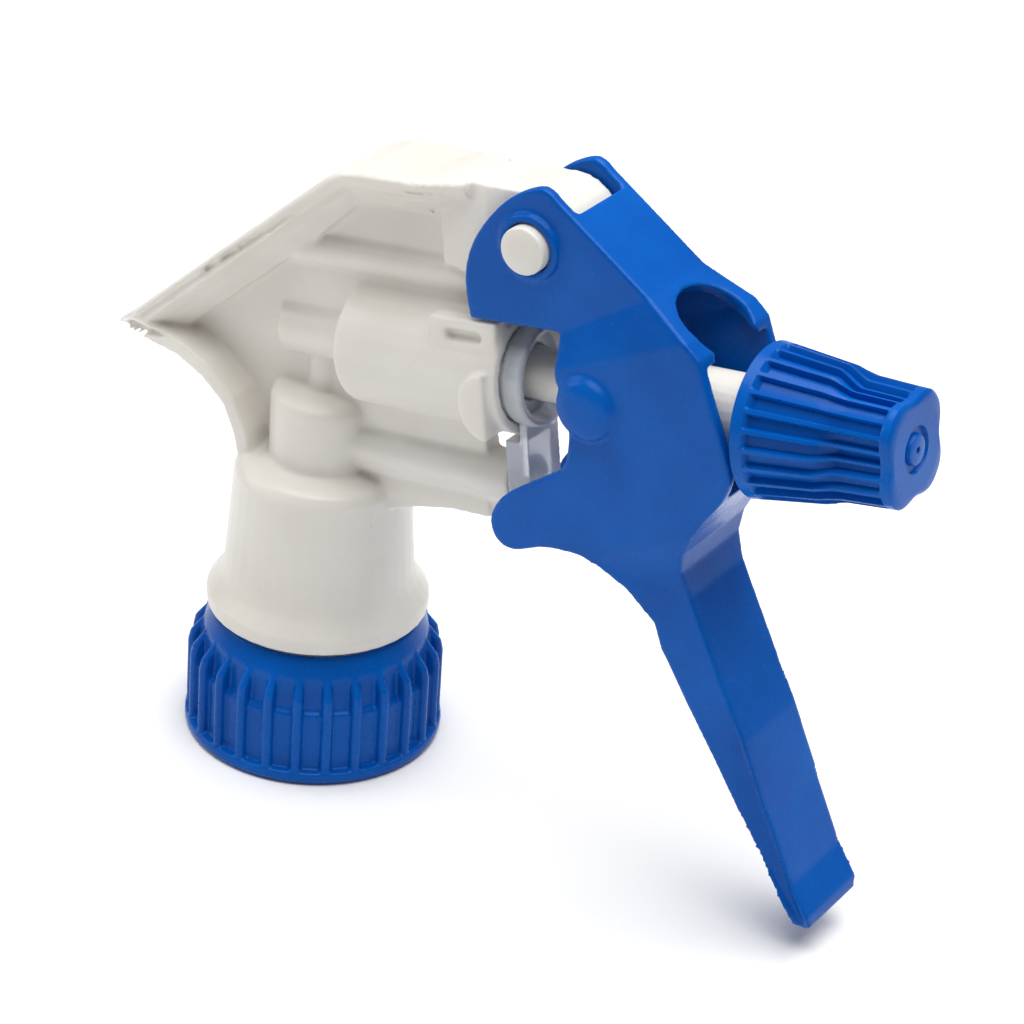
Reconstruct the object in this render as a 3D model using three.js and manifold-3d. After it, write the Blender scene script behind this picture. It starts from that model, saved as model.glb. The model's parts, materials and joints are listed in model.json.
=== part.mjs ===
import * as THREE from "three";
import { mergeVertices } from "three/addons/utils/BufferGeometryUtils.js";
import Module from "manifold-3d";

const wasm = await Module();
wasm.setup();

// Driving dimensions, in mm. Head pieces are drawn level and then lean back by headRise.
const headRise = 8.39;
const leanHeight = 40;
const gap = 0.2;
const runGap = 0.1;

const barrelHeight = 57.5;
const cylinderRear = 8.5;
const cylinderMouth = 33;
const cylinderRadius = 7.95;
const boreRadius = 6.6;
const boreRear = 10.2;
const inletRear = -3.1;
const inletRadius = 3.62;

const ventHeight = 42.6;
const ventRadius = 3.4;
const ventBore = 2.3;
const ventMouth = 30.8;
const glandHalf = 3.4;
const glandFront = 34.4;

const pinAt = [38.67, 76.9];
const pinRadius = 3.1;
const pinEnd = 8.8;
const pinBossRadius = 4.2;
const pinBossEnd = 7.4;
const noseRadius = 5.9;
const noseHalf = 4.5;

const roofHalf = 6.7;
const webHalf = 1.5;
const flangeHalf = 6.2;

const cheekHalf = 6.45;
const panelHalf = 8.3;
const leverHalf = 6.4;
const triggerWall = 1.6;

const trunnionX = 46.8;
const trunnionRadius = 1.4;
const trunnionEnd = 8.6;
const slotHalf = 1.85;
const pocketRadius = 4.1;
const pocketEnd = 10;
const squeeze = 18;

const rodRadius = 3.3;
const rodBore = 1.5;
const rodRear = 22.6;
const pistonFront = 28;
const spigotRadius = 2.4;
const barrelRadius = 4.9;
const threadRadius = 4.3;
const barrelFront = 76;
const valveBore = 2.5;
const valveSeat = 60;

const nozzleRear = 66.5;
const nozzleFront = 86.2;
const nozzleRearRadius = 9.5;
const nozzleFrontRadius = 6.7;
const nozzleRibs = 24;

const flangeRadius = 17.25;
const flangeHigh = 1.4;
const gripRadius = 15.9;
const gripTop = 9.5;
const ribRadius = 16.8;
const nutTop = 17.2;
const nutBore = 14.2;
const nutWeb = 14.8;
const nutHole = 12.9;
const nutRibs = 26;
const threadPitch = 4.23;
const threadTurns = 1.25;
const threadRise = 0.85;

const collarRadius = 14.63;
const collarBottom = 17.95;
const coneTop = 39.5;
const coneTopRadius = 11.2;
const coneFootRadius = 12.5;
const bossRadius = 7.1;
const bossTop = 49.6;
const sleeveRadius = 12.7;
const beadRadius = 13.5;
const sleeveFoot = 13.3;
const inletBallAt = 33.6;

const lean = new THREE.Matrix4()
  .makeTranslation(0, 0, leanHeight)
  .multiply(new THREE.Matrix4().makeRotationY(THREE.MathUtils.degToRad(-headRise)))
  .multiply(new THREE.Matrix4().makeTranslation(0, 0, -leanHeight));
const upright = lean.clone().invert();

const whitePlastic = new THREE.MeshStandardMaterial({ color: "#e9e6df", roughness: 0.38 });
const bluePlastic = new THREE.MeshStandardMaterial({ color: "#0a4fc0", roughness: 0.32 });
const clearPlastic = new THREE.MeshStandardMaterial({ color: "#dfe3ea", roughness: 0.3 });
const sealRubber = new THREE.MeshStandardMaterial({ color: "#d8d4c8", roughness: 0.7 });
const springSteel = new THREE.MeshStandardMaterial({
  color: "#b9bcc0", metalness: 1, roughness: 0.28,
});

function solid(geometry) {
  geometry.deleteAttribute("normal");
  geometry.deleteAttribute("uv");
  const merged = mergeVertices(geometry, 1e-4);
  const points = merged.attributes.position.array;
  const index = merged.index.array;
  const faces = [];
  let volume = 0;
  const [a, b, c] = [new THREE.Vector3(), new THREE.Vector3(), new THREE.Vector3()];
  for (let i = 0; i < index.length; i += 3) {
    const [p, q, r] = [index[i], index[i + 1], index[i + 2]];
    if (p === q || q === r || p === r) continue;
    faces.push([p, q, r]);
    a.fromArray(points, 3 * p);
    b.fromArray(points, 3 * q);
    c.fromArray(points, 3 * r);
    volume += a.dot(b.cross(c));
  }
  const ordered = volume > 0 ? faces : faces.map(([p, q, r]) => [p, r, q]);
  return new wasm.Manifold(new wasm.Mesh({
    numProp: 3,
    vertProperties: new Float32Array(points),
    triVerts: new Uint32Array(ordered.flat()),
  }));
}

function join(...pieces) {
  return pieces.reduce((whole, piece) => whole.add(piece));
}

function cut(body, ...tools) {
  return tools.reduce((left, tool) => left.subtract(tool), body);
}

// A revolved piece: profile of [radius, along] pairs, closed, about the row's Z axis.
function turnedZ(profile, segments = 36) {
  const points = [...profile, profile[0]].map(([r, along]) => new THREE.Vector2(r, along));
  return new THREE.LatheGeometry(points, segments).rotateX(Math.PI / 2);
}

function turnedX(profile, height = barrelHeight, segments = 28) {
  const points = [...profile, profile[0]].map(([r, along]) => new THREE.Vector2(r, along));
  return solid(
    new THREE.LatheGeometry(points, segments).rotateZ(-Math.PI / 2).translate(0, 0, height),
  );
}

function rodX(from, to, radius, height = barrelHeight, segments = 24) {
  return turnedX([[0, from], [radius, from], [radius, to], [0, to]], height, segments);
}

function rodY(from, to, radius, [x, z], segments = 24) {
  const drum = new THREE.CylinderGeometry(radius, radius, to - from, segments);
  return solid(drum.translate(x, (from + to) / 2, z));
}

function block([x0, x1], [y0, y1], [z0, z1]) {
  const box = new THREE.BoxGeometry(x1 - x0, y1 - y0, z1 - z0);
  return solid(box.translate((x0 + x1) / 2, (y0 + y1) / 2, (z0 + z1) / 2));
}

// A plate standing in the XZ plane: each corner is [x, z, halfWidth] or takes the given half width.
function plate(corners, half) {
  const shape = new THREE.Shape(corners.map(([x, z]) => new THREE.Vector2(x, z)));
  const slab = new THREE.ExtrudeGeometry(shape, { depth: 2, bevelEnabled: false });
  slab.rotateX(Math.PI / 2).translate(0, 1, 0);
  const place = slab.attributes.position;
  for (let i = 0; i < place.count; i += 1) {
    const [x, z] = [place.getX(i), place.getZ(i)];
    const near = corners.find(([u, v]) => Math.hypot(u - x, v - z) < 1e-3);
    place.setY(i, place.getY(i) * (near[2] ?? half));
  }
  return solid(slab);
}

// Extra points on a smooth curve through the given ones.
function flowing(points, count) {
  const curve = new THREE.SplineCurve(points.map(([x, z]) => new THREE.Vector2(x, z)));
  return curve.getPoints(count).map((p) => [p.x, p.y]);
}

// Two mirrored plates between two distances from the mid-plane.
function plates(corners, from, to) {
  return cut(plate(corners, to), plate(corners.map(([x, z]) => [x, z]), from));
}

function coil(radius, wire, from, to, turns, height) {
  const steps = Math.round(turns * 9);
  const path = [];
  for (let i = 0; i <= steps; i += 1) {
    const angle = (2 * Math.PI * turns * i) / steps;
    const along = from + wire + ((to - from - 2 * wire) * i) / steps;
    path.push(new THREE.Vector3(
      along, radius * Math.cos(angle), height + radius * Math.sin(angle),
    ));
  }
  return sweep(path, wire, steps);
}

function sweep(path, wire, steps) {
  const round = new THREE.Shape().absarc(0, 0, wire, 0, 2 * Math.PI);
  return new THREE.ExtrudeGeometry(round, {
    steps, curveSegments: 3, bevelEnabled: false,
    extrudePath: new THREE.CatmullRomCurve3(path),
  });
}

const assembly = new THREE.Group();

function addNode(name, body, material, matrix) {
  const mesh = body.getMesh();
  const geometry = new THREE.BufferGeometry();
  geometry.setAttribute("position", new THREE.BufferAttribute(mesh.vertProperties, 3));
  geometry.setIndex(new THREE.BufferAttribute(mesh.triVerts, 1));
  if (matrix) geometry.applyMatrix4(matrix);
  geometry.computeVertexNormals();
  const node = new THREE.Mesh(geometry, material);
  node.name = name;
  assembly.add(node);
}

const neckSolid = (profile, segments) => solid(turnedZ(profile, segments).applyMatrix4(upright));

// Head body: neck, boss, web, roof, horn, pump cylinder and vent tube in one moulding.
const neck = neckSolid([
  [0, 20], [collarRadius, 20], [coneFootRadius + 0.6, 22.4], [coneFootRadius, 24],
  [coneTopRadius + 0.3, coneTop - 1.6], [coneTopRadius - 0.5, coneTop - 0.4],
  [coneTopRadius - 1.4, coneTop], [bossRadius, coneTop + 0.5], [bossRadius, bossTop - 1.2],
  [bossRadius - 0.4, bossTop - 0.4], [bossRadius - 1.3, bossTop], [0, bossTop],
]);
const collar = neckSolid([
  [0, collarBottom], [collarRadius - 0.3, collarBottom], [collarRadius, collarBottom + 0.4],
  [collarRadius, 20.2], [0, 20.2],
]);
const sleeve = neckSolid([
  [0, sleeveFoot], [beadRadius - 0.6, sleeveFoot], [beadRadius, sleeveFoot + 0.7],
  [beadRadius, nutWeb - gap - 0.4], [sleeveRadius, nutWeb - gap], [sleeveRadius, 18.2], [0, 18.2],
]);
const riser = neckSolid([[0, 48], [2.4, 48], [2.4, 57], [0, 57]], 20);
const roofTop = [
  [-29.6, 54.2, 2], [-28.6, 55, 4.4], [-26.4, 56.4, 6], [-24, 57.9], [-12, 66.3], [0, 74.7],
  [7.2, 79.7], [9.2, 81.1], [11.4, 82], [14, 82.4], [18, 82.4], [22.4, 82.4], [25.2, 82.7, 5.5],
  [28.8, 82.8, 5.3],
];
// One layer of the roof section between two depths below the top line.
function roofLayer(line, [from, to], [upperTaper, lowerTaper]) {
  const sink = ([x, z, half = roofHalf], depth, taper) => {
    const drop = x < -24 ? 0.4 * depth : depth;
    const slope = THREE.MathUtils.clamp((14 - x) / 14, 0, 1);
    return [x + 0.57 * slope * drop, z - (1 - 0.18 * slope) * drop, Math.max(half - taper, 1)];
  };
  const upper = line.map((point) => sink(point, from, upperTaper));
  const lower = line.map((point) => sink(point, to, lowerTaper));
  return plate([...upper, ...lower.reverse()], roofHalf);
}
const hornFlange = [
  [-29.2, 54.1, 1.8], [-26.8, 53.9, 4.6], [-23.5, 54.2], [-17.9, 52.7], [-14.1, 50.4],
  [-10.9, 47.1], [-9.6, 42.8], [-9.2, 36.5], [-7, 36.5], [-7.6, 43.3], [-9.2, 48.3],
  [-12.9, 52.2], [-17.2, 54.6], [-23, 56.2], [-27.4, 56, 4.4],
];
const web = [
  [-27, 55.2], [10.8, 81.2], [34, 81.2], [34, 71.5], [30, 66], [29, 58], [29, 51], [26.8, 50.4],
  [26.8, 42], [26.6, 37.9], [15.4, 36], [8, 34], [-8, 38], [-8.6, 44], [-10.4, 48.4], [-14, 52.2],
  [-18, 54],
];
const nose = [
  [31.2, 82.8], [pinAt[0], 82.8], [pinAt[0] + 5.2, 74.1], [pinAt[0] - 4, 71.2], [31.2, 70.6],
];
const noseFlare = [
  [23, 82.3, 2.6], [27, 82.8, 3.6], [31.4, 82.8, noseHalf], [31.4, 70.6, noseHalf],
  [27, 70.4, 3.6], [23, 70.8, 2.6],
];
const lugPlate = [];
for (let i = 0; i <= 12; i += 1) {
  const angle = Math.PI * (0.5 + i / 12);
  lugPlate.push([31.9 + 3.9 * Math.cos(angle), 55.5 + 4.4 * Math.sin(angle)]);
}
const ventFrame = block([10, 26.8], [-1.8, 1.8], [37, 41.5]);
const framePad = [
  [23.2, 65.6], [cylinderMouth - 0.2, 65.8], [cylinderMouth - 0.2, 60.6], [31.2, 60.6],
  [31, 62], [23.2, 61.6],
];
const slotRecess = [[25.4, 64.2], [30.6, 64.4], [30.6, 62.9], [25.4, 62.7]];
const bodyOuter = join(
  neck, collar, sleeve, riser,
  roofLayer(roofTop, [0, 0.6], [0.5, 0]),
  roofLayer(roofTop, [0.5, 2], [0, 0.5]),
  roofLayer(roofTop.slice(3), [1.9, 3.2], [0.6, 2.2]),
  roofLayer(roofTop.slice(3), [3.1, 5.4], [2.2, 4.1]),
  plate(hornFlange, flangeHalf),
  plate(web, webHalf),
  plate(nose, noseHalf),
  plate(noseFlare, noseHalf),
  rodY(-noseHalf, noseHalf, noseRadius, pinAt),
  rodX(-2.5, 30, 2.7, 69, 20),
  rodX(inletRear, cylinderRear + 1, inletRadius),
  turnedX([
    [0, cylinderRear], [cylinderRadius - 0.7, cylinderRear], [cylinderRadius, cylinderRear + 0.7],
    [cylinderRadius, cylinderMouth], [0, cylinderMouth],
  ]),
  rodX(4, ventMouth, ventRadius, ventHeight),
  ventFrame,
  plates(lugPlate, 5, 8.9),
  plates(framePad, 4, 6.7),
);
const neckHollow = neckSolid([
  [0, sleeveFoot - 1], [11.2, sleeveFoot - 1], [11.2, 21], [9.9, 36.4], [8.4, 37.4], [0, 37.4],
]);
const bossBore = neckSolid([[0, 36], [4.9, 36], [4.9, 44], [0, 44]], 32);
const riserBore = neckSolid([[0, 43], [0.8, 43], [0.8, 57.7], [0, 57.7]], 16);
const headBody = cut(
  bodyOuter, neckHollow, bossBore, riserBore,
  rodX(1.5, boreRear + 1, 1.1, barrelHeight, 16),
  rodX(boreRear, cylinderMouth + 1, boreRadius, barrelHeight, 28),
  rodX(9, ventMouth + 1, ventBore, ventHeight, 28),
  rodY(-noseHalf - 1, noseHalf + 1, pinRadius + gap, pinAt),
  plates(slotRecess, 5.7, 8),
);
addNode("head_body", headBody, whitePlastic, lean);

addNode("pivot_pin", rodY(-pinEnd, pinEnd, pinRadius - 0.1, pinAt), whitePlastic, lean);

// Front gland: bush around the rod, with a plate down over the vent mouth.
const gland = cut(
  join(
    turnedX([
      [0, 29.2], [boreRadius - gap, 29.2], [boreRadius - gap, cylinderMouth + gap],
      [boreRadius, cylinderMouth + gap], [boreRadius, 35.4], [boreRadius - 0.3, 35.8], [0, 35.8],
    ]),
    block([ventMouth + gap, glandFront], [-glandHalf, glandHalf], [ventHeight, 49.2]),
    block([cylinderMouth + gap, glandFront], [-glandHalf, glandHalf], [49, 54]),
    rodX(ventMouth + gap, glandFront, glandHalf, ventHeight, 32),
    rodX(ventMouth - 2, ventMouth + 1, ventBore - gap, ventHeight),
  ),
  rodX(29, 37, rodRadius + 0.3),
  rodX(29, 31.4, 5),
  turnedX([[0, 33.6], [5.1, 33.6], [5.9, 37], [0, 37]]),
  rodX(28, 36, 1.2, ventHeight, 16),
);
addNode("front_gland", gland, clearPlastic, lean);

addNode("rod_wiper", solid(
  new THREE.TorusGeometry(4.25, 0.6, 6, 22).rotateY(Math.PI / 2).translate(30.4, 0, barrelHeight),
), sealRubber, lean);

addNode("vent_plug", cut(
  turnedX([
    [0, 19], [ventBore - gap, 19], [ventBore - gap, 20], [1.6, 20.6], [1.6, 24],
    [ventBore - gap, 24.6], [ventBore - gap, 26], [0, 26],
  ], ventHeight, 28),
  rodX(18, 27, 0.8, ventHeight, 16),
), sealRubber, lean);

// Inlet valve housing, standing on the neck axis.
const housing = cut(
  solid(turnedZ([
    [0, 12.2], [4.1, 12.2], [4.1, 13.6], [10.9, 13.6], [10.9, 15.2], [4.6, 15.2], [4.6, 39.2],
    [3.2, 39.8], [3.2, 43.4], [0, 43.4],
  ], 40)),
  solid(turnedZ([[0, 11], [2.6, 11], [2.6, 30], [1.3, 31.5], [1.3, 33], [0, 33]], 28)),
  solid(turnedZ([[0, 32], [1.3, 32], [2.7, 34], [2.7, 39.4], [2, 40], [2, 45], [0, 45]], 28)),
);
addNode("valve_housing", housing, clearPlastic);
addNode("housing_seal", solid(
  new THREE.TorusGeometry(4.03, 0.6, 6, 22).translate(0, 0, 41.6),
), sealRubber);
addNode("inlet_ball", solid(
  new THREE.SphereGeometry(1.9, 14, 9).translate(0, 0, inletBallAt),
), springSteel);
addNode("inlet_cage", cut(
  solid(turnedZ([[0, 38.7], [2.5, 38.7], [2.5, 39.3], [1.8, 39.9], [1.8, 42], [0, 42]], 24)),
  block([-0.45, 0.45], [-3, 3], [38, 43]),
  solid(turnedZ([[0, 39.9], [1.1, 39.9], [1.1, 43], [0, 43]], 20)),
).add(block([-0.7, 0.7], [-0.9, 0.9], [38.7, 39.5])), clearPlastic);

// Closure nut with grip ribs and an inner thread.
const nutProfile = [
  [0, 0], [flangeRadius - 0.3, 0], [flangeRadius, 0.3], [flangeRadius, flangeHigh - 0.3],
  [flangeRadius - 0.3, flangeHigh], [gripRadius, flangeHigh], [gripRadius, gripTop],
  [gripRadius - 0.7, gripTop + 0.5], [gripRadius - 0.9, 14.8], [gripRadius - 1.9, nutTop - 0.5],
  [gripRadius - 2.4, nutTop], [0, nutTop],
];
const ribOutline = [
  [gripRadius - 1.4, flangeHigh - 0.3], [ribRadius, flangeHigh - 0.3], [ribRadius, 11.4],
  [ribRadius - 0.4, 12.6], [gripRadius - 0.7, 15.4], [gripRadius - 1.8, 15.4],
];
function nutRib(turn) {
  const shape = new THREE.Shape(ribOutline.map(([r, z]) => new THREE.Vector2(r, z)));
  const slab = new THREE.ExtrudeGeometry(shape, { depth: 1.2, bevelEnabled: false });
  return solid(slab.rotateX(Math.PI / 2).translate(0, 0.6, 0).rotateZ(turn));
}
let nut = solid(turnedZ(nutProfile, 39));
for (let i = 0; i < nutRibs; i += 1) {
  nut = nut.add(nutRib(THREE.MathUtils.degToRad(-62.1 + (360 * i) / nutRibs)));
}
nut = cut(
  nut,
  solid(turnedZ([[0, -1], [nutBore, -1], [nutBore, nutWeb], [0, nutWeb]], 36)),
  solid(turnedZ([[0, 10], [nutHole, 10], [nutHole, nutTop + 1], [0, nutTop + 1]], 36)),
);
const threadPath = [];
const threadSteps = 24;
for (let i = 0; i <= threadSteps; i += 1) {
  const angle = (2 * Math.PI * threadTurns * i) / threadSteps;
  const lift = 3.2 + (threadPitch * threadTurns * i) / threadSteps;
  threadPath.push(new THREE.Vector3(
    (nutBore + 0.1) * Math.cos(angle), (nutBore + 0.1) * Math.sin(angle), lift,
  ));
}
addNode("closure_nut", nut.add(solid(sweep(threadPath, threadRise, threadSteps))), bluePlastic);

addNode("neck_gasket", solid(turnedZ([
  [9.6, 12.2], [13.4, 12.2], [13.4, 13.1], [9.6, 13.1],
], 40)), sealRubber);

// Plunger rod: hollow, with side trunnions and a valve chamber at the front.
const rod = cut(
  join(
    turnedX([
      [0, rodRear], [spigotRadius, rodRear], [spigotRadius, pistonFront],
      [rodRadius, pistonFront], [rodRadius, 52], [barrelRadius, 54],
      [barrelRadius, nozzleRear + 1.2], [threadRadius, nozzleRear + 1.8],
      [threadRadius, barrelFront], [0, barrelFront],
    ]),
    turnedX([
      [0, 68.8], [threadRadius, 68.6], [threadRadius + 0.5, 69.1], [threadRadius, 69.6], [0, 69.6],
    ]),
    turnedX([
      [0, 71.6], [threadRadius, 71.4], [threadRadius + 0.5, 71.9], [threadRadius, 72.4], [0, 72.4],
    ]),
    rodY(-trunnionEnd, trunnionEnd, trunnionRadius, [trunnionX, barrelHeight], 20),
    block([42.6, 51], [-4.4, 4.4], [56.4, 58.6]),
  ),
  rodX(rodRear - 1, barrelFront + 1, rodBore, barrelHeight, 20),
  turnedX([
    [0, valveSeat], [rodBore, valveSeat], [valveBore, valveSeat + 1.4],
    [valveBore, barrelFront + 1], [0, barrelFront + 1],
  ], barrelHeight, 24),
);
addNode("plunger_rod", rod, whitePlastic, lean);

addNode("piston_cup", cut(
  turnedX([
    [0, 22.6], [spigotRadius + 0.9, 22.6], [spigotRadius + 1.3, 24.6], [5.7, 23.4],
    [boreRadius - runGap, 22.6], [boreRadius - runGap, 23.6], [6, 25.4], [boreRadius - runGap, 27],
    [boreRadius - runGap, 27.7], [0, 27.7],
  ]),
  rodX(20, 30, spigotRadius + gap, barrelHeight, 24),
), sealRubber, lean);

addNode("return_spring", solid(coil(4.3, 0.42, boreRear + gap, 22.3, 5, barrelHeight)),
  springSteel, lean);
addNode("outlet_ball", solid(
  new THREE.SphereGeometry(1.7, 14, 9).translate(valveSeat + 0.95, 0, barrelHeight),
), springSteel, lean);
addNode("outlet_spring", solid(coil(1.6, 0.25, 62.8, 70.4, 6, barrelHeight)), springSteel, lean);
addNode("swirl_insert", cut(
  turnedX([
    [0, 70.8], [valveBore - gap, 70.8], [valveBore - gap, barrelFront + 1.6], [0, barrelFront + 1.6],
  ], barrelHeight, 24),
  block([70, 75], [-0.6, 0.6], [barrelHeight + 1.3, barrelHeight + 3]),
  block([70, 75], [-0.6, 0.6], [barrelHeight - 3, barrelHeight - 1.3]),
), clearPlastic, lean);

// Nozzle: round at the rear, squared at the front, ribbed all round.
const nozzleStep = 78.2;
const nozzleCore = turnedX([
  [0, nozzleRear], [nozzleRearRadius - 0.4, nozzleRear], [nozzleRearRadius, nozzleRear + 0.5],
  [nozzleRearRadius, nozzleRear + 1.4], [nozzleRearRadius - 0.6, nozzleRear + 1.8],
  [7.9, nozzleStep - 1.4], [nozzleFrontRadius - 0.2, nozzleStep + 0.8],
  [nozzleFrontRadius - 0.5, nozzleFront - 1.3],
  [nozzleFrontRadius - 0.9, nozzleFront - 0.4], [0, nozzleFront - 0.4],
]);
const ribProfile = [
  [5, nozzleRear + 1.4], [nozzleRearRadius - 0.1, nozzleRear + 1.4], [8.5, nozzleStep - 1.2],
  [7.3, nozzleStep + 1], [6.9, nozzleFront - 1.2], [5, nozzleFront - 0.9],
];
function nozzleRib(turn) {
  const shape = new THREE.Shape(ribProfile.map(([r, x]) => new THREE.Vector2(x, r)));
  const slab = new THREE.ExtrudeGeometry(shape, { depth: 0.9, bevelEnabled: false });
  return solid(slab.rotateX(Math.PI / 2).translate(0, 0.45, 0).rotateX(turn)
    .translate(0, 0, barrelHeight));
}
let nozzle = nozzleCore;
for (let i = 0; i < nozzleRibs; i += 1) {
  nozzle = nozzle.add(nozzleRib((2 * Math.PI * (i + 0.5)) / nozzleRibs));
}
nozzle = cut(
  join(nozzle, turnedX([
    [0, nozzleFront - 1], [1.8, nozzleFront - 1], [1.8, nozzleFront - 0.2],
    [1.5, nozzleFront], [0, nozzleFront],
  ], barrelHeight, 24)),
  turnedX([
    [0, nozzleRear - 1], [barrelRadius + 0.3, nozzleRear - 1],
    [barrelRadius + 0.3, 77.4], [3.2, 77.8], [3.2, 83.2], [0.9, 84.2], [0, 84.2],
  ]),
  rodX(84, nozzleFront + 1, 0.4, barrelHeight, 12),
  turnedX([
    [6.4, nozzleRear - 1], [7.9, nozzleRear - 1], [7.4, 74], [6.4, 74],
  ]),
);
addNode("nozzle", nozzle, bluePlastic, lean);
addNode("nozzle_gasket", turnedX([
  [3.4, 76.3], [5, 76.3], [5, 77.2], [3.4, 77.2],
], barrelHeight, 32), sealRubber, lean);

// Trigger: upper cheeks at the pin, flared panels, two prongs and a channel-section lever.
const topFrom = [42.8, 82.9];
const corner = [60.6, 68.9];
const cheek = [
  ...flowing([
    topFrom, [41.6, 84], [40, 84.3], [37, 83.1], [34.1, 80.9], [31.2, 77.6], [29.4, 74.2],
    [28.7, 70.5], [29.1, 66.1],
  ], 22),
  [42, 66.5], [54.6, 73], [48.3, 78.3],
];
const flare = [
  [42, 66.5, cheekHalf], [54.6, 73, cheekHalf], [...corner, panelHalf], [42, 62, panelHalf],
];
const panel = [
  [42, 62], corner,
  ...flowing([
    [62.3, 67.1], [63.4, 62.8], [64.8, 58.1], [65.8, 54], [65.5, 51.5], [64.3, 49.2], [62.4, 47],
    [60.3, 44.3],
  ], 14),
  ...flowing([
    [44.2, 38.4], [39.2, 38.4], [34.9, 37.1], [32.8, 37.4], [31.5, 39], [31.5, 41.3],
    [33.4, 44.1], [37.2, 46.5],
  ], 18),
  [42.2, 49.4],
  ...flowing([[42.8, 50.4], [43.6, 54], [43, 58.8], [42.1, 60.8]], 6),
];
const shoulder = [
  [60.3, 44.3, 8.3], [58.4, 41.2, 7.6], [57.8, 38.5, 7], [58.6, 35, leverHalf],
  [53.4, 30.8, 6.8], [50.2, 34.9, 7.6], [46.7, 37.3, 8.1], [44.2, 38.4, 8.3],
];
const lever = [
  [58.6, 35], [60.4, 30], [62.8, 23.5], [65.3, 17], [68.4, 7], [71.2, -1.5], [73.3, -5.6],
  [73.4, -7, 5.8], [72.3, -7.9, 5], [70.9, -7.2, 5.8], [69.8, -4.6], [67.2, 1.2], [64.4, 6.8],
  [60.8, 14], [57, 21.3], [54.2, 27.2, 6.6], [53.4, 30.8, 6.8],
];
const inUpper = cheekHalf - triggerWall;
const inLower = panelHalf - triggerWall;
const inLever = leverHalf - triggerWall;
const cheekSpace = [
  [20, 95], [44.5, 95], [44.5, 79.3], [53.3, 72.35], [41, 65.9], [20, 65.9],
];
const flareSpace = [
  [41, 66, inUpper], [41, 61.6, inLower], [58.6, 68.17, inLower], [53.3, 72.35, inUpper],
];
const panelSpace = [
  [20, 61.7], [41, 61.7], [58.6, 68.2], [63, 65.6], [80, 65.6], [80, 50], [62.4, 50],
  [59.2, 45.8], [56.5, 43], [20, 43],
];
const shoulderSpace = [
  [20, 43.1, inLower], [56.5, 43.1, inLower], [55.9, 39, 5.4], [56.7, 34.6, inLever],
  [50, 30, 5.2], [20, 30, inLower],
];
const leverSpace = [
  [56.7, 34.7], [58.5, 29.5], [63.4, 16.5], [66.5, 6.6], [68.9, -1], [70.3, -4.2], [60, -4.2],
  [45, 30],
];
const archTurn = Math.atan2(topFrom[1] - corner[1], corner[0] - topFrom[0]);
const arch = solid(
  new THREE.CylinderGeometry(5.4, 5.4, 12, 32).rotateX(Math.PI / 2)
    .rotateY(archTurn).translate(corner[0] - 0.4, 0, corner[1] + 0.3),
);
const slotTurn = Math.atan2(trunnionX - pinAt[0], pinAt[1] - barrelHeight);
const slotTravel = 1.6;
// Where the barrel passes under the arch when the trigger is fully squeezed.
const barrelPath = new THREE.CylinderGeometry(barrelRadius + 0.2, barrelRadius + 0.2, 20, 28)
  .rotateZ(Math.PI / 2).translate(62, 0, barrelHeight).translate(-pinAt[0], 0, -pinAt[1])
  .rotateY(THREE.MathUtils.degToRad(-squeeze)).translate(pinAt[0], 0, pinAt[1]);
function pocketDome(side) {
  const dome = [
    [0, 7], [pocketRadius, 7], [pocketRadius, 8.6], [pocketRadius - 0.6, 9.4],
    [pocketRadius - 1.8, pocketEnd - 0.2], [0, pocketEnd],
  ].map(([r, out]) => new THREE.Vector2(r, side * out));
  return solid(new THREE.LatheGeometry([...dome, dome[0]], 28).translate(
    trunnionX - 0.85 * Math.sin(slotTurn), 0, barrelHeight + 0.85 * Math.cos(slotTurn),
  ));
}
function pocketSlot(side) {
  const slot = new THREE.Shape();
  slot.absarc(0, 0, slotHalf, Math.PI, 2 * Math.PI);
  slot.absarc(0, slotTravel, slotHalf, 0, Math.PI);
  const slab = new THREE.ExtrudeGeometry(slot, {
    depth: 3, bevelEnabled: false, curveSegments: 10,
  });
  slab.rotateX(Math.PI / 2).rotateY(-slotTurn);
  slab.translate(trunnionX, side > 0 ? 8.9 : -5.9, barrelHeight);
  return solid(slab);
}
const trigger = cut(
  join(
    plate(cheek, cheekHalf), plate(flare, panelHalf), plate(panel, panelHalf),
    plate(shoulder, panelHalf), plate(lever, leverHalf),
    rodY(-pinBossEnd, pinBossEnd, pinBossRadius, pinAt),
    pocketDome(1), pocketDome(-1),
  ),
  plate(cheekSpace, inUpper), plate(flareSpace, inLower), plate(panelSpace, inLower),
  plate(shoulderSpace, inLower), plate(leverSpace, inLever),
  arch, solid(barrelPath),
  rodY(-10, 10, pinRadius + 0.05, pinAt),
  pocketSlot(1), pocketSlot(-1),
);
addNode("trigger", trigger, bluePlastic, lean);

export default assembly;
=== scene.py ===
import json
import math

import bmesh
import bpy
from mathutils import Matrix, Vector


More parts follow.
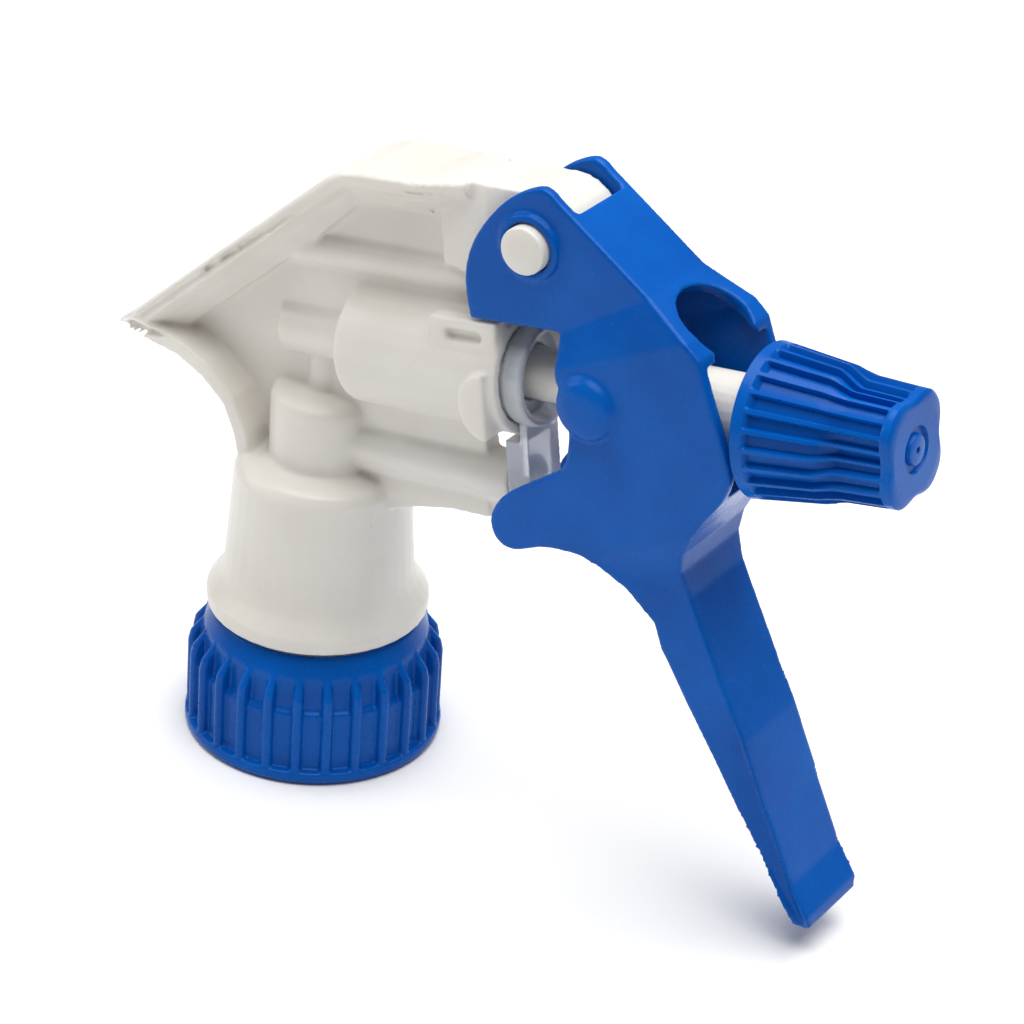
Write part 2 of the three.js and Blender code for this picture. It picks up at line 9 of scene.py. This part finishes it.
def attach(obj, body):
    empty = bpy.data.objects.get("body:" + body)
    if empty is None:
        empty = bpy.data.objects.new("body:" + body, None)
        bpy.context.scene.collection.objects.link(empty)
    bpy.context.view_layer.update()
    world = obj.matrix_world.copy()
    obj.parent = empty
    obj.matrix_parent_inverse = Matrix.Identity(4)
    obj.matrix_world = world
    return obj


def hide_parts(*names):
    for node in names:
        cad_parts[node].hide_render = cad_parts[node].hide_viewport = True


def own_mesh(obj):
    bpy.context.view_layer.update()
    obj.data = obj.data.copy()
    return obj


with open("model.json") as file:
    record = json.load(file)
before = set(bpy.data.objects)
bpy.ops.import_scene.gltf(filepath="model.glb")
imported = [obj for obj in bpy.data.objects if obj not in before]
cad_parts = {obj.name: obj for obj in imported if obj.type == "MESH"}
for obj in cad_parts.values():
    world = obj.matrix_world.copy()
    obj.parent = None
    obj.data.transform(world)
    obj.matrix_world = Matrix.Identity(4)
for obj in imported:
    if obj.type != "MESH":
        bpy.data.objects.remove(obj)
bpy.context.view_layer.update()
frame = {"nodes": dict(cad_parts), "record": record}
print("frame loaded:", len(frame["nodes"]), "parts")

mm = 0.001
headLean = {"rise": math.radians(8.39), "height": 40 * mm}
barrelHeight = 57.5 * mm


def leanMatrix():
    up = Matrix.Translation((0, 0, headLean["height"]))
    return up @ Matrix.Rotation(-headLean["rise"], 4, "Y") @ up.inverted()


lean = leanMatrix()
barrel = lean @ Matrix.Translation((0, 0, barrelHeight)) @ Matrix.Rotation(math.pi / 2, 4, "Y")


# camera and light

cameraSet = {
    "place": (0.2365, -0.3372, 0.2683),
    "azimuth": 31.61, "elevation": 29.77, "roll": 4.14, "lens": 128.6, "sensor": 36,
}


def makeCamera(c):
    azimuth, elevation, roll = (math.radians(c[k]) for k in ("azimuth", "elevation", "roll"))
    back = Vector((
        math.sin(azimuth) * math.cos(elevation),
        -math.cos(azimuth) * math.cos(elevation), math.sin(elevation),
    ))
    right = Vector((0, 0, 1)).cross(back).normalized()
    above = back.cross(right)
    turned = (
        right * math.cos(roll) + above * math.sin(roll),
        above * math.cos(roll) - right * math.sin(roll), back,
    )
    data = bpy.data.cameras.new("camera")
    data.lens = c["lens"]
    data.sensor_width = c["sensor"]
    data.clip_start = 0.01
    data.clip_end = 20
    camera = bpy.data.objects.new("camera", data)
    camera.matrix_world = Matrix.Translation(c["place"]) @ Matrix(turned).transposed().to_4x4()
    bpy.context.scene.collection.objects.link(camera)
    bpy.context.scene.camera = camera


makeCamera(cameraSet)

lights = {
    "key": {"place": (0.08, 0.06, 0.78), "size": 1.0, "power": 11.0, "tint": (1, 0.995, 0.98)},
    "left": {"place": (-0.60, -0.25, 0.40), "size": 0.5, "power": 1.2, "tint": (1, 1, 1)},
}
lookAt = Vector((0.03, 0, 0.045))
roomStrength = 0.2


def makeLight(name, place, size, power, tint):
    data = bpy.data.lights.new(name, "AREA")
    data.shape = "DISK"
    data.size = size
    data.energy = power
    data.color = tint
    lamp = bpy.data.objects.new(name, data)
    lamp.location = place
    lamp.rotation_euler = (Vector(place) - lookAt).to_track_quat("Z", "Y").to_euler()
    bpy.context.scene.collection.objects.link(lamp)


for name, settings in lights.items():
    makeLight(name, **settings)

world = bpy.data.worlds.new("room")
world.use_nodes = True
world.node_tree.nodes["Background"].inputs["Color"].default_value = (1, 1, 1, 1)
world.node_tree.nodes["Background"].inputs["Strength"].default_value = roomStrength
bpy.context.scene.world = world
bpy.context.scene.view_settings.view_transform = "Standard"
print("camera and lights placed")


# shader sums

class Link:
    # one output socket that takes part in Python sums
    def __init__(self, paint, socket):
        self.paint = paint
        self.socket = socket

    def sum(self, operation, first, second):
        return self.paint.add("ShaderNodeMath", {"operation": operation}, {0: first, 1: second})

    def __add__(self, other):
        return self.sum("ADD", self, other)

    def __radd__(self, other):
        return self.sum("ADD", other, self)

    def __sub__(self, other):
        return self.sum("SUBTRACT", self, other)

    def __mul__(self, other):
        return self.sum("MULTIPLY", self, other)


class Paint:
    def __init__(self, name):
        self.material = bpy.data.materials.new(name)
        self.material.use_nodes = True
        self.tree = self.material.node_tree
        self.shader = self.tree.nodes["Principled BSDF"]
        self.place = self.add("ShaderNodeTexCoord", {}, {}, "Object")

    def fill(self, target, value):
        if isinstance(value, Link):
            self.tree.links.new(value.socket, target)
        else:
            target.default_value = value

    def add(self, kind, settings, inputs, output=0):
        node = self.tree.nodes.new(kind)
        for key, value in settings.items():
            if key == "stops":
                self.setStops(node.color_ramp, value)
            else:
                setattr(node, key, value)
        for key, value in inputs.items():
            self.fill(node.inputs[key], value)
        return Link(self, node.outputs[output])

    def setStops(self, ramp, stops):
        for at, _ in stops[2:]:
            ramp.elements.new(at)
        for element, (at, colour) in zip(ramp.elements, stops):
            element.position = at
            element.color = colour

    def noise(self, scale, detail=3, roughness=0.5, place=None):
        return self.add("ShaderNodeTexNoise", {}, {
            "Vector": place or self.place, "Scale": scale, "Detail": detail,
            "Roughness": roughness,
        })

    def stretched(self, scale):
        return self.add("ShaderNodeMapping", {}, {"Vector": self.place, "Scale": scale})

    def ramp(self, value, *stops):
        return self.add("ShaderNodeValToRGB", {"stops": stops}, {"Fac": value})

    def mix(self, share, first, second):
        node = self.tree.nodes.new("ShaderNodeMix")
        node.data_type = "RGBA"
        for key, value in ((0, share), (6, first), (7, second)):
            self.fill(node.inputs[key], value)
        return Link(self, node.outputs[2])

    def bump(self, height, strength, distance):
        return self.add("ShaderNodeBump", {}, {
            "Height": height, "Strength": strength, "Distance": distance,
        })

    def set(self, **values):
        for key, value in values.items():
            self.fill(self.shader.inputs[key.replace("_", " ")], value)
        return self.material


def spot(at, soft=0.04):
    return ((at, (0, 0, 0, 1)), (at + soft, (1, 1, 1, 1)))


def mouldedPlastic(name, finish):
    p = Paint(name)
    cloud = p.noise(55, 3)
    flow = p.noise(90, 4, 0.6, p.stretched((1, 1, 5)))
    skin = p.noise(5200, 2)
    orange = p.noise(620, 2)
    specks = p.noise(1500, 1)
    speck = p.ramp(specks, *spot(finish["speckAt"]))
    tone = p.mix(p.ramp(cloud, (0.35, (0, 0, 0, 1)), (0.68, (1, 1, 1, 1))),
                 finish["dark"], finish["light"])
    tone = p.mix(p.ramp(flow, (0.52, (0, 0, 0, 1)), (0.74, (0.5, 0.5, 0.5, 1))),
                 tone, finish["flow"])
    tone = p.mix(speck * finish["speckShare"], tone, finish["speck"])
    rough = finish["rough"] + (orange - 0.5) * finish["roughSwing"] + speck * 0.12
    height = skin * 0.35 + orange * 0.9 + flow * 0.5
    shine = p.bump(height, finish["bump"], 0.00008)
    return p.set(
        Base_Color=tone, Roughness=rough, Normal=shine, IOR=1.49,
        Specular_IOR_Level=finish["gloss"],
        Subsurface_Weight=finish["depth"], Subsurface_Radius=finish["radius"],
        Subsurface_Scale=0.004, Coat_Weight=finish["coat"], Coat_Roughness=0.12,
    )


whiteFinish = {
    "dark": (0.67, 0.645, 0.60, 1), "light": (0.745, 0.725, 0.685, 1),
    "flow": (0.70, 0.67, 0.62, 1), "speck": (0.45, 0.40, 0.33, 1),
    "speckAt": 0.76, "speckShare": 0.22, "rough": 0.36, "roughSwing": 0.14, "bump": 0.16,
    "depth": 0.15, "radius": (1.0, 0.85, 0.65), "coat": 0.1, "gloss": 0.45,
}
blueFinish = {
    "dark": (0.0, 0.072, 0.36, 1), "light": (0.0, 0.105, 0.47, 1),
    "flow": (0.0, 0.088, 0.41, 1), "speck": (0.04, 0.18, 0.55, 1),
    "speckAt": 0.76, "speckShare": 0.2, "rough": 0.26, "roughSwing": 0.14, "bump": 0.12,
    "depth": 0.0, "radius": (0.05, 0.2, 1.0), "coat": 0.0, "gloss": 0.14,
}


def milkyPlastic(name):
    p = Paint(name)
    haze = p.noise(160, 3)
    skin = p.noise(1400, 2)
    tone = p.mix(p.ramp(haze, (0.3, (0, 0, 0, 1)), (0.7, (1, 1, 1, 1))),
                 (0.74, 0.78, 0.86, 1), (0.90, 0.92, 0.95, 1))
    return p.set(
        Base_Color=tone, Roughness=0.22 + haze * 0.16, Normal=p.bump(skin, 0.15, 0.00006),
        IOR=1.5, Transmission_Weight=0.55, Subsurface_Weight=0.2, Subsurface_Scale=0.003,
    )


def paleRubber(name):
    p = Paint(name)
    bloom = p.noise(240, 4, 0.6)
    grain = p.noise(4200, 2)
    tone = p.mix(bloom, (0.52, 0.50, 0.44, 1), (0.70, 0.68, 0.62, 1))
    return p.set(
        Base_Color=tone, Roughness=0.58 + bloom * 0.2, Normal=p.bump(grain + bloom, 0.25, 0.00008),
        Sheen_Weight=0.15,
    )


def springSteel(name):
    p = Paint(name)
    drawn = p.noise(1800, 3, 0.6, p.stretched((0.2, 1, 1)))
    stain = p.noise(300, 3)
    tone = p.mix(stain, (0.58, 0.59, 0.61, 1), (0.76, 0.76, 0.77, 1))
    return p.set(
        Base_Color=tone, Metallic=1.0, Roughness=0.16 + drawn * 0.2,
        Normal=p.bump(drawn, 0.18, 0.00005),
    )


materials = {
    "white_pp": mouldedPlastic("whitePlastic", whiteFinish),
    "blue_pp": mouldedPlastic("bluePlastic", blueFinish),
    "natural_pe": milkyPlastic("milkyPlastic"),
    "rubber": paleRubber("paleRubber"),
    "steel": springSteel("springSteel"),
}
print("materials made")


# mesh helpers

def linked(name, mesh):
    thing = bpy.data.objects.new(name, mesh)
    bpy.context.scene.collection.objects.link(thing)
    return thing


def ringMesh(name, rings, closed=True):
    # quads between rings of equal length; each ring is a list of points
    count = len(rings[0])
    points = [p for ring in rings for p in ring]
    faces = []
    last = len(rings) if closed else len(rings) - 1
    for i in range(last):
        j = (i + 1) % len(rings)
        for k in range(count):
            m = (k + 1) % count
            faces.append((i * count + k, i * count + m, j * count + m, j * count + k))
    mesh = bpy.data.meshes.new(name)
    mesh.from_pydata(points, [], faces)
    return mesh


def outward(mesh, capped=False):
    b = bmesh.new()
    b.from_mesh(mesh)
    bmesh.ops.remove_doubles(b, verts=b.verts, dist=1e-7)
    if capped:
        bmesh.ops.holes_fill(b, edges=[e for e in b.edges if e.is_boundary])
    bmesh.ops.recalc_face_normals(b, faces=b.faces)
    b.to_mesh(mesh)
    b.free()
    return mesh


def turned(name, profile, matrix, steps=96):
    # a revolved piece from [radius, along] pairs, closed when its ends lie on the axis
    rings = []
    for k in range(steps):
        angle = 2 * math.pi * k / steps
        rings.append([(r * math.cos(angle), r * math.sin(angle), z) for r, z in profile])
    count = len(profile)
    points = [p for ring in rings for p in ring]
    faces = []
    loop = profile[0][0] > 0
    for k in range(steps):
        m = (k + 1) % steps
        for i in range(count if loop else count - 1):
            j = (i + 1) % count
            faces.append((k * count + i, m * count + i, m * count + j, k * count + j))
    mesh = bpy.data.meshes.new(name)
    mesh.from_pydata(points, [], faces)
    outward(mesh)
    mesh.transform(matrix)
    return linked(name, mesh)


def rounded(profile, reach, cuts=3):
    # softens the corners of a turned profile with short arcs
    soft = []
    count = len(profile)
    for i, point in enumerate(profile):
        here = Vector(point)
        onAxis = point[0] == 0
        before = Vector(profile[i - 1]) - here
        after = Vector(profile[(i + 1) % count]) - here
        if onAxis or before.length < 1e-9 or after.length < 1e-9:
            soft.append(tuple(here))
            continue
        cut = min(reach, before.length * 0.42, after.length * 0.42)
        start, end = here + before.normalized() * cut, here + after.normalized() * cut
        for s in range(cuts + 1):
            t = s / cuts
            soft.append(tuple(start * (1 - t) ** 2 + here * 2 * t * (1 - t) + end * t * t))
    return soft


def settle(thing, kind, **settings):
    # applies one modifier
    modifier = thing.modifiers.new(kind.lower(), kind)
    for key, value in settings.items():
        setattr(modifier, key, value)
    bpy.context.view_layer.update()
    done = bpy.data.meshes.new_from_object(
        thing.evaluated_get(bpy.context.evaluated_depsgraph_get()))
    thing.modifiers.clear()
    thing.data = done
    return thing


def soften(thing, voxel, rounds, limit):
    # melts the joined shapes into one moulding with small fillets, then thins the mesh
    settle(thing, "REMESH", mode="VOXEL", voxel_size=voxel)
    settle(thing, "SMOOTH", factor=0.5, iterations=rounds)
    count = len(thing.data.polygons) * 2
    if count > limit:
        settle(thing, "DECIMATE", ratio=limit / count)
    thing.data.shade_smooth()
    return thing


def copied(node, name):
    mesh = frame["nodes"][node].data.copy()
    b = bmesh.new()
    b.from_mesh(mesh)
    bmesh.ops.remove_doubles(b, verts=b.verts, dist=1e-6)
    b.to_mesh(mesh)
    b.free()
    mesh.materials.clear()
    return linked(name, mesh)


def finishPiece(thing, slot, body, *nodes):
    thing.data.materials.clear()
    thing.data.materials.append(materials[slot])
    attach(thing, body)
    if nodes:
        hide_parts(*nodes)
    print("made", thing.name, len(thing.data.polygons), "faces")


# node trees for what repeats

def newTree(name, inputs):
    tree = bpy.data.node_groups.new(name, "GeometryNodeTree")
    face = tree.interface
    face.new_socket("Geometry", in_out="INPUT", socket_type="NodeSocketGeometry")
    face.new_socket("Geometry", in_out="OUTPUT", socket_type="NodeSocketGeometry")
    for label, kind in inputs.items():
        face.new_socket(label, in_out="INPUT", socket_type=kind)
    return tree, tree.nodes.new("NodeGroupInput"), tree.nodes.new("NodeGroupOutput")


def endTree(tree, source, target):
    link = tree.links.new
    real = tree.nodes.new("GeometryNodeRealizeInstances")
    coat = tree.nodes.new("GeometryNodeSetMaterial")
    link(source, real.inputs[0])
    link(real.outputs[0], coat.inputs["Geometry"])
    return link(coat.outputs[0], target.inputs[0])


def aroundTree():
    # repeats the incoming shape about the Z axis
    tree, source, target = newTree("ribsAround", {
        "Count": "NodeSocketInt", "Start": "NodeSocketFloat",
    })
    link, make = tree.links.new, tree.nodes.new
    points = make("GeometryNodePoints")
    instance = make("GeometryNodeInstanceOnPoints")
    index = make("GeometryNodeInputIndex")
    share = make("ShaderNodeMath")
    turn = make("ShaderNodeMath")
    angle = make("ShaderNodeCombineXYZ")
    share.operation = "DIVIDE"
    turn.operation = "MULTIPLY_ADD"
    turn.inputs[1].default_value = 2 * math.pi
    link(source.outputs["Count"], points.inputs["Count"])
    link(index.outputs[0], share.inputs[0])
    link(source.outputs["Count"], share.inputs[1])
    link(share.outputs[0], turn.inputs[0])
    link(source.outputs["Start"], turn.inputs[2])
    link(turn.outputs[0], angle.inputs["Z"])
    link(points.outputs[0], instance.inputs["Points"])
    link(source.outputs["Geometry"], instance.inputs["Instance"])
    link(angle.outputs[0], instance.inputs["Rotation"])
    endTree(tree, instance.outputs[0], target)
    return tree


def coilTree():
    # a wire wound up the Z axis
    tree, source, target = newTree("wireCoil", {
        "Turns": "NodeSocketFloat", "Radius": "NodeSocketFloat",
        "Length": "NodeSocketFloat", "Wire": "NodeSocketFloat",
    })
    link, make = tree.links.new, tree.nodes.new
    spiral = make("GeometryNodeCurveSpiral")
    ring = make("GeometryNodeCurvePrimitiveCircle")
    tube = make("GeometryNodeCurveToMesh")
    spiral.inputs["Resolution"].default_value = 40
    ring.inputs["Resolution"].default_value = 12
    tube.inputs["Fill Caps"].default_value = True
    link(source.outputs["Turns"], spiral.inputs["Rotations"])
    link(source.outputs["Radius"], spiral.inputs["Start Radius"])
    link(source.outputs["Radius"], spiral.inputs["End Radius"])
    link(source.outputs["Length"], spiral.inputs["Height"])
    link(source.outputs["Wire"], ring.inputs["Radius"])
    link(spiral.outputs[0], tube.inputs["Curve"])
    link(ring.outputs[0], tube.inputs["Profile Curve"])
    endTree(tree, tube.outputs[0], target)
    return tree


def grown(thing, tree, **values):
    modifier = thing.modifiers.new(tree.name, "NODES")
    modifier.node_group = tree
    for item in tree.interface.items_tree:
        if item.in_out == "INPUT" and item.name in values:
            modifier[item.identifier] = values[item.name]
    bpy.context.view_layer.update()
    done = bpy.data.meshes.new_from_object(
        thing.evaluated_get(bpy.context.evaluated_depsgraph_get()))
    thing.modifiers.clear()
    thing.data = done
    return thing


def merged(first, *others):
    b = bmesh.new()
    for thing in (first, *others):
        b.from_mesh(thing.data)
    mesh = bpy.data.meshes.new(first.name)
    b.to_mesh(mesh)
    b.free()
    first.data = mesh
    for thing in others:
        bpy.data.objects.remove(thing)
    return first


# closure nut

nutSize = {
    "flange": 17.1 * mm, "flangeHigh": 1.5 * mm, "grip": 15.75 * mm, "gripTop": 9.6 * mm,
    "cone": 15.0 * mm, "top": 17.2 * mm, "rim": 13.6 * mm, "hole": 12.95 * mm,
    "bore": 14.15 * mm, "web": 14.8 * mm, "ribs": 26, "ribReach": 16.9 * mm,
    "ribWide": 0.72 * mm, "start": math.radians(-62.1),
    "ribSides": 16, "ribRoot": 2.2,
    "thread": 1.25, "threadFoot": 3.2 * mm, "pitch": 4.23 * mm, "ridge": 0.85 * mm,
    "threadSteps": 90, "threadSides": 12, "steps": 160, "voxel": 0.2 * mm, "rounds": 2,
    "limit": 190000,
}


def nutRib(n):
    # a half-round bar that leans in at its top
    path = [
        (n["ribReach"] - n["ribWide"], 0.9 * mm, 1.0),
        (n["ribReach"] - n["ribWide"], 6 * mm, 1.0),
        (n["ribReach"] - n["ribWide"], 11 * mm, 0.98),
        (n["ribReach"] - n["ribWide"] - 0.25 * mm, 12.4 * mm, 0.92),
        (n["cone"] - 0.3 * mm, 14.2 * mm, 0.74), (n["cone"] - 1.2 * mm, 15.5 * mm, 0.4),
    ]
    rings = []
    for r, z, wide in path:
        ring = []
        for k in range(n["ribSides"]):
            angle = 2 * math.pi * k / n["ribSides"]
            stretch = 1.0 if math.cos(angle) > 0 else n["ribRoot"]
            ring.append((
                r + n["ribWide"] * wide * math.cos(angle) * stretch,
                n["ribWide"] * wide * math.sin(angle), z,
            ))
        rings.append(ring)
    mesh = ringMesh("nutRib", rings, closed=False)
    return linked("nutRib", outward(mesh, capped=True))


def nutThread(n):
    steps = n["threadSteps"]
    rings = []
    for i in range(steps + 1):
        t = i / steps
        angle = 2 * math.pi * n["thread"] * t
        size = n["ridge"] * min(1, 0.25 + 9 * t, 0.25 + 9 * (1 - t))
        lift = n["threadFoot"] + n["pitch"] * n["thread"] * t
        ring = []
        for k in range(n["threadSides"]):
            a = 2 * math.pi * k / n["threadSides"]
            r = n["bore"] + 0.1 * mm + size * math.cos(a)
            ring.append((r * math.cos(angle), r * math.sin(angle), lift + size * math.sin(a)))
        rings.append(ring)
    return linked("nutThread", outward(ringMesh("nutThread", rings, closed=False), capped=True))


def makeNut(n):
    profile = [
        (n["bore"], 0), (n["flange"], 0), (n["flange"], n["flangeHigh"]),
        (n["grip"], n["flangeHigh"] + 0.1 * mm), (n["grip"], n["gripTop"]),
        (n["cone"], n["gripTop"] + 0.45 * mm), (n["cone"] - 0.15 * mm, 14.6 * mm),
        (n["rim"], n["top"]), (n["hole"], n["top"]), (n["hole"], n["web"]), (n["bore"], n["web"]),
    ]
    shell = turned("closureNut", rounded(profile, 0.45 * mm), Matrix(), n["steps"])
    ribs = grown(nutRib(n), aroundTree(), Count=n["ribs"], Start=n["start"])
    nut = merged(shell, ribs, nutThread(n))
    soften(nut, n["voxel"], n["rounds"], n["limit"])
    finishPiece(nut, "blue_pp", "closure", "closure_nut")


makeNut(nutSize)


# nozzle cap

nozzleSize = {
    "rear": 66.5 * mm, "front": 86.2 * mm, "rearRadius": 9.5 * mm, "ribs": 24,
    "flat": 6.45 * mm, "cornerRound": 7.75 * mm, "step": 77.6 * mm, "groove": 0.85 * mm,
    "cutsPerRib": 20, "stations": 88, "sharp": math.radians(34),
}


def ease(t):
    t = max(0, min(1, t))
    return t * t * (3 - 2 * t)


def nozzleRadius(n, x, angle):
    # round behind, four flats in front, ribs between two plain rims
    along = (x - n["rear"]) / (n["front"] - n["rear"])
    roundWall = n["rearRadius"] - 1.35 * mm * along / 0.55 * (1 if along < 0.55 else 0.55 / along)
    corner = abs(math.cos(2 * angle)) ** 3
    squareWall = n["flat"] + (n["cornerRound"] - n["flat"]) * (1 - corner)
    squareWall -= 0.45 * mm * max(0, along - 0.6) / 0.4
    wall = roundWall + (squareWall - roundWall) * ease((x - n["step"] + 1.5 * mm) / (3.2 * mm))
    rib = 0.5 + 0.5 * math.cos(n["ribs"] * angle)
    hollow = 1 - ease((rib - 0.68) / 0.2)
    span = ease((x - n["rear"] - 1.5 * mm) / (0.7 * mm))
    span *= ease((n["front"] - 1.5 * mm - x) / (0.6 * mm))
    return wall - n["groove"] * hollow * span


def makeNozzle(n):
    steps = n["ribs"] * n["cutsPerRib"]
    count = n["stations"]
    span = n["front"] - n["rear"] - 0.55 * mm
    stations = [n["rear"] + span * i / count for i in range(count + 1)]
    inner = [
        (5.4, 86.0), (2.9, 86.0), (2.7, 85.55), (2.0, 85.55), (1.8, 86.1), (1.5, 86.2),
        (0.45, 86.2), (0.4, 86.1), (0.4, 84.3), (0.9, 84.2), (3.2, 83.2), (3.2, 77.8),
        (5.2, 77.4), (5.2, 66.9), (5.4, 66.7), (6.2, 66.7), (6.4, 66.9), (6.4, 74),
        (7.4, 74), (7.9, 66.9),
    ]
    rings = []
    for k in range(steps):
        angle = 2 * math.pi * k / steps
        section = [(nozzleRadius(n, n["rear"], angle) - 0.35 * mm, n["rear"])]
        section += [(nozzleRadius(n, x, angle), x) for x in stations[1:]]
        edge = section[-1][0]
        section += [(edge - 0.15 * mm, n["front"] - 0.4 * mm)]
        section += [(edge - 0.6 * mm, n["front"] - 0.2 * mm)]
        section += [(r * mm, x * mm) for r, x in inner]
        rings.append([(r * math.cos(angle), r * math.sin(angle), x) for r, x in section])
    nozzle = linked("nozzleCap", outward(ringMesh("nozzleCap", rings)))
    nozzle.data.transform(barrel)
    nozzle.data.shade_smooth()
    nozzle.data.set_sharp_from_angle(angle=n["sharp"])
    finishPiece(nozzle, "blue_pp", "nozzle", "nozzle")


makeNozzle(nozzleSize)


# head, trigger and rod mouldings

mouldings = {
    "headMoulding": ("head_body", 0.28 * mm, 6, 190000, "white_pp", "head"),
    "triggerMoulding": ("trigger", 0.22 * mm, 16, 195000, "blue_pp", "trigger"),
    "plungerMoulding": ("plunger_rod", 0.20 * mm, 3, 90000, "white_pp", "plunger"),
    "frontGland": ("front_gland", 0.16 * mm, 2, 60000, "natural_pe", "head"),
}
for name, (node, voxel, rounds, limit, slot, body) in mouldings.items():
    finishPiece(soften(copied(node, name), voxel, rounds, limit), slot, body, node)


# pivot pin

pinSize = {"radius": 3.0 * mm, "end": 8.8 * mm, "crown": 0.35 * mm, "place": (38.67, 76.9)}


def makePin(p):
    x, z = p["place"]
    across = lean @ Matrix.Translation((x * mm, 0, z * mm)) @ Matrix.Rotation(math.pi / 2, 4, "X")
    half = p["end"]
    profile = [(0, -half), (p["radius"] * 0.6, -half + 0.05 * mm),
               (p["radius"], -half + p["crown"]), (p["radius"], half - p["crown"]),
               (p["radius"] * 0.6, half - 0.05 * mm), (0, half)]
    pin = turned("pivotPin", rounded(profile, 0.3 * mm), across, 72)
    pin.data.shade_smooth()
    finishPiece(pin, "white_pp", "head", "pivot_pin")


makePin(pinSize)


# return spring

springSize = {"radius": 4.3 * mm, "wire": 0.42 * mm, "from": 10.4 * mm, "to": 22.3 * mm,
              "turns": 5.0, "keep": 0.4}


def makeSpring(s):
    spring = linked("returnSpring", bpy.data.meshes.new("returnSpring"))
    length = s["to"] - s["from"] - 2 * s["wire"]
    grown(spring, coilTree(), Turns=s["turns"], Radius=s["radius"], Length=length, Wire=s["wire"])
    spring.data.transform(barrel @ Matrix.Translation((0, 0, s["from"] + s["wire"])))
    outward(spring.data)
    spring.data.shade_smooth()
    finishPiece(spring, "steel", "head", "return_spring")
    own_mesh(spring)


makeSpring(springSize)


# inner parts keep their shape and get their own finish

for entry in frame["record"]["subparts"]:
    node = frame["nodes"][entry["node"]]
    if not node.hide_render:
        node.data.materials.clear()
        node.data.materials.append(materials[entry["material_slot"]])
print("inner parts painted")


# floor

floorSize = {"half": 3, "height": -0.3 * mm}


def makeFloor(f):
    half, height = f["half"], f["height"]
    corners = [(x * half, y * half, height) for x, y in ((-1, -1), (1, -1), (1, 1), (-1, 1))]
    mesh = bpy.data.meshes.new("floor")
    mesh.from_pydata(corners, [], [(0, 1, 2, 3)])
    floor = linked("floor", mesh)
    p = Paint("paleFloor")
    tone = p.mix(p.noise(6, 2), (0.93, 0.93, 0.93, 1), (0.95, 0.95, 0.95, 1))
    floor.data.materials.append(p.set(Base_Color=tone, Roughness=0.55, Specular_IOR_Level=0.2))


makeFloor(floorSize)

print("scene complete")
